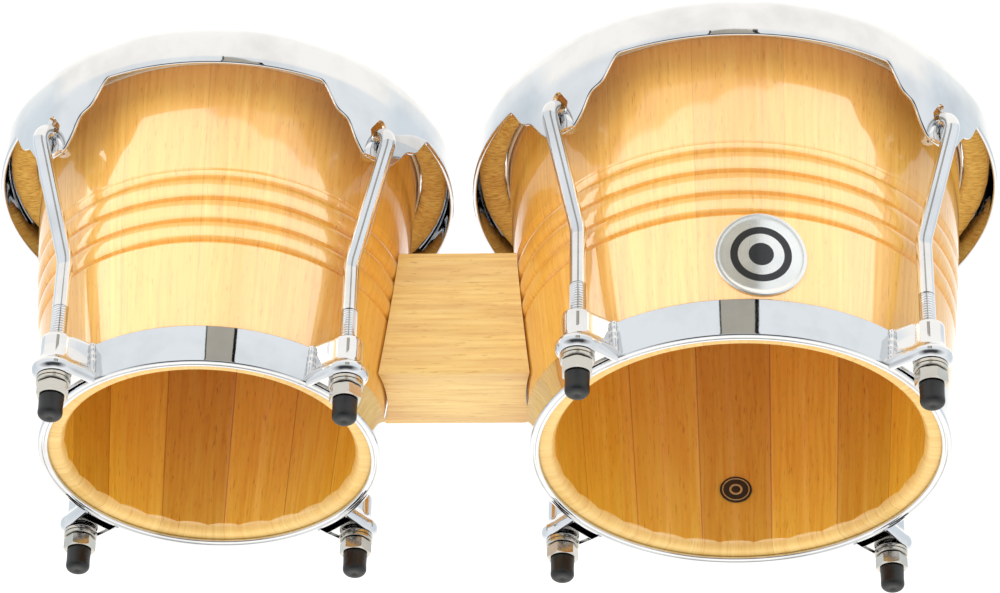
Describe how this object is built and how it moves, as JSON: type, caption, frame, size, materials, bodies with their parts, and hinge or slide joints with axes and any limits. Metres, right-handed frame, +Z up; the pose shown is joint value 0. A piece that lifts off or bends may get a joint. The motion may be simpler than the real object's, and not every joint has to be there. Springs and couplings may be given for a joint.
{
  "type": "bongo drums",
  "caption": "Pair of tunable wooden hand drums, one small and one large, joined side by side by a wooden block, with chromed rims, hooks and feet.",
  "frame": {"origin": "middle of the pair's bounding box, on the plane that the tips of the eight rod caps stand on", "axes": "+Z up through the heads, +X from the small drum to the large drum, -Y the front with the badge"},
  "size_m": [0.4544, 0.239, 0.1902],
  "materials": {
    "lacquered_wood": "gloss",
    "block_wood": "satin",
    "chrome": "polished",
    "badge_chrome": "polished",
    "nickel": "satin",
    "steel": "satin",
    "hide": "matte",
    "rubber": "matte",
    "label": "matte"
  },
  "bodies": {
    "root": {"small_shell": "lacquered_wood", "small_bottom_ring": "chrome", "small_head_skin": "hide", "small_lug_bracket_1": "chrome", "small_lug_bracket_2": "chrome", "small_lug_bracket_3": "chrome", "small_lug_bracket_4": "chrome", "small_washer_1": "nickel", "small_washer_2": "nickel", "small_washer_3": "nickel", "small_washer_4": "nickel", "small_block_bolt_1": "steel", "small_block_bolt_2": "steel", "large_shell": "lacquered_wood", "large_bottom_ring": "chrome", "large_head_skin": "hide", "large_lug_bracket_1": "chrome", "large_lug_bracket_2": "chrome", "large_lug_bracket_3": "chrome", "large_lug_bracket_4": "chrome", "large_washer_1": "nickel", "large_washer_2": "nickel", "large_washer_3": "nickel", "large_washer_4": "nickel", "large_block_bolt_1": "steel", "large_block_bolt_2": "steel", "joining_block": "block_wood", "badge": "badge_chrome", "inner_label": "label"},
    "small_tension": {"small_rim": "chrome", "small_hide_collar": "hide", "small_flesh_hoop": "steel", "small_tuning_rod_1": "chrome", "small_tuning_rod_2": "chrome", "small_tuning_rod_3": "chrome", "small_tuning_rod_4": "chrome", "small_rod_cap_1": "rubber", "small_rod_cap_2": "rubber", "small_rod_cap_3": "rubber", "small_rod_cap_4": "rubber"},
    "small_nut_1": {"small_nut_1": "nickel"},
    "small_nut_2": {"small_nut_2": "nickel"},
    "small_nut_3": {"small_nut_3": "nickel"},
    "small_nut_4": {"small_nut_4": "nickel"},
    "large_tension": {"large_rim": "chrome", "large_hide_collar": "hide", "large_flesh_hoop": "steel", "large_tuning_rod_1": "chrome", "large_tuning_rod_2": "chrome", "large_tuning_rod_3": "chrome", "large_tuning_rod_4": "chrome", "large_rod_cap_1": "rubber", "large_rod_cap_2": "rubber", "large_rod_cap_3": "rubber", "large_rod_cap_4": "rubber"},
    "large_nut_1": {"large_nut_1": "nickel"},
    "large_nut_2": {"large_nut_2": "nickel"},
    "large_nut_3": {"large_nut_3": "nickel"},
    "large_nut_4": {"large_nut_4": "nickel"}
  },
  "joints": [
    {"name": "small_head_tuning", "type": "slide", "parent": "root", "child": "small_tension", "axis": [0, 0, -1], "range_m": [0, 0.006]},
    {"name": "small_nut_turn_1", "type": "hinge", "parent": "root", "child": "small_nut_1", "pos_m": [-0.0636, 0.06396, 0.0132], "axis": [0, 0, 1], "range_deg": [0, 1730]},
    {"name": "small_nut_turn_2", "type": "hinge", "parent": "root", "child": "small_nut_2", "pos_m": [-0.18741, 0.05985, 0.0132], "axis": [0, 0, 1], "range_deg": [0, 1730]},
    {"name": "small_nut_turn_3", "type": "hinge", "parent": "root", "child": "small_nut_3", "pos_m": [-0.1833, -0.06396, 0.0132], "axis": [0, 0, 1], "range_deg": [0, 1730]},
    {"name": "small_nut_turn_4", "type": "hinge", "parent": "root", "child": "small_nut_4", "pos_m": [-0.05949, -0.05985, 0.0132], "axis": [0, 0, 1], "range_deg": [0, 1730]},
    {"name": "large_head_tuning", "type": "slide", "parent": "root", "child": "large_tension", "axis": [0, 0, -1], "range_m": [0, 0.006]},
    {"name": "large_nut_turn_1", "type": "hinge", "parent": "root", "child": "large_nut_1", "pos_m": [0.17679, 0.07858, 0.0132], "axis": [0, 0, 1], "range_deg": [0, 1730]},
    {"name": "large_nut_turn_2", "type": "hinge", "parent": "root", "child": "large_nut_2", "pos_m": [0.02917, 0.06904, 0.0132], "axis": [0, 0, 1], "range_deg": [0, 1730]},
    {"name": "large_nut_turn_3", "type": "hinge", "parent": "root", "child": "large_nut_3", "pos_m": [0.03871, -0.07858, 0.0132], "axis": [0, 0, 1], "range_deg": [0, 1730]},
    {"name": "large_nut_turn_4", "type": "hinge", "parent": "root", "child": "large_nut_4", "pos_m": [0.18633, -0.06904, 0.0132], "axis": [0, 0, 1], "range_deg": [0, 1730]}
  ],
  "couplings": [
    {"joint": "small_nut_turn_1", "follows": "small_head_tuning", "rad_per_m": 5026.5},
    {"joint": "small_nut_turn_2", "follows": "small_head_tuning", "rad_per_m": 5026.5},
    {"joint": "small_nut_turn_3", "follows": "small_head_tuning", "rad_per_m": 5026.5},
    {"joint": "small_nut_turn_4", "follows": "small_head_tuning", "rad_per_m": 5026.5},
    {"joint": "large_nut_turn_1", "follows": "large_head_tuning", "rad_per_m": 5026.5},
    {"joint": "large_nut_turn_2", "follows": "large_head_tuning", "rad_per_m": 5026.5},
    {"joint": "large_nut_turn_3", "follows": "large_head_tuning", "rad_per_m": 5026.5},
    {"joint": "large_nut_turn_4", "follows": "large_head_tuning", "rad_per_m": 5026.5}
  ]
}
